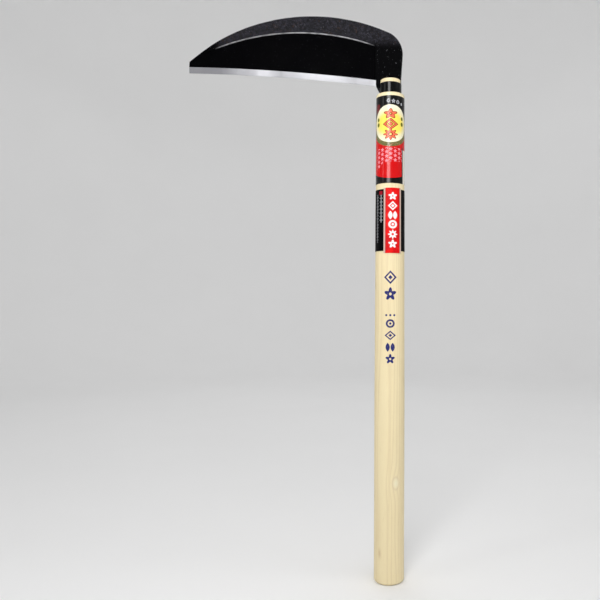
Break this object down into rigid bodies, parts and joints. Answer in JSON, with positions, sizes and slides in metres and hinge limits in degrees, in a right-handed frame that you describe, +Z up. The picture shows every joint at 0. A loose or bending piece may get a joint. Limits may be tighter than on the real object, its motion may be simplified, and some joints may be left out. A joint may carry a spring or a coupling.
{
  "type": "hand sickle",
  "caption": "Hand sickle: a curved single-bevel blade set square to a long turned wooden handle, held by a tang, a nail and a steel ferrule.",
  "frame": {"origin": "centre of the handle's flat butt end", "axes": "+Z up the handle's axis; the blade points along -X; the ground bevel faces -Y and the flat side +Y"},
  "size_m": [0.2254, 0.0314, 0.5846],
  "materials": {
    "forged_iron": "black forge scale, rough on the rib and smooth on the web",
    "ground_steel": "ground across the edge",
    "pale_wood": "turned and sanded, waxed",
    "black_ferrule": "gloss black",
    "nail_iron": "drawn wire, dull",
    "gloss_film": "printed gloss film",
    "black_paper": "printed matt label",
    "red_paper": "printed satin label"
  },
  "bodies": {
    "root": {"blade_body": "forged_iron", "edge_steel": "ground_steel", "handle": "pale_wood", "ferrule": "black_ferrule", "tang_nail": "nail_iron", "upper_label": "gloss_film", "lower_label": "black_paper", "label_strip": "red_paper"}
  },
  "joints": []
}
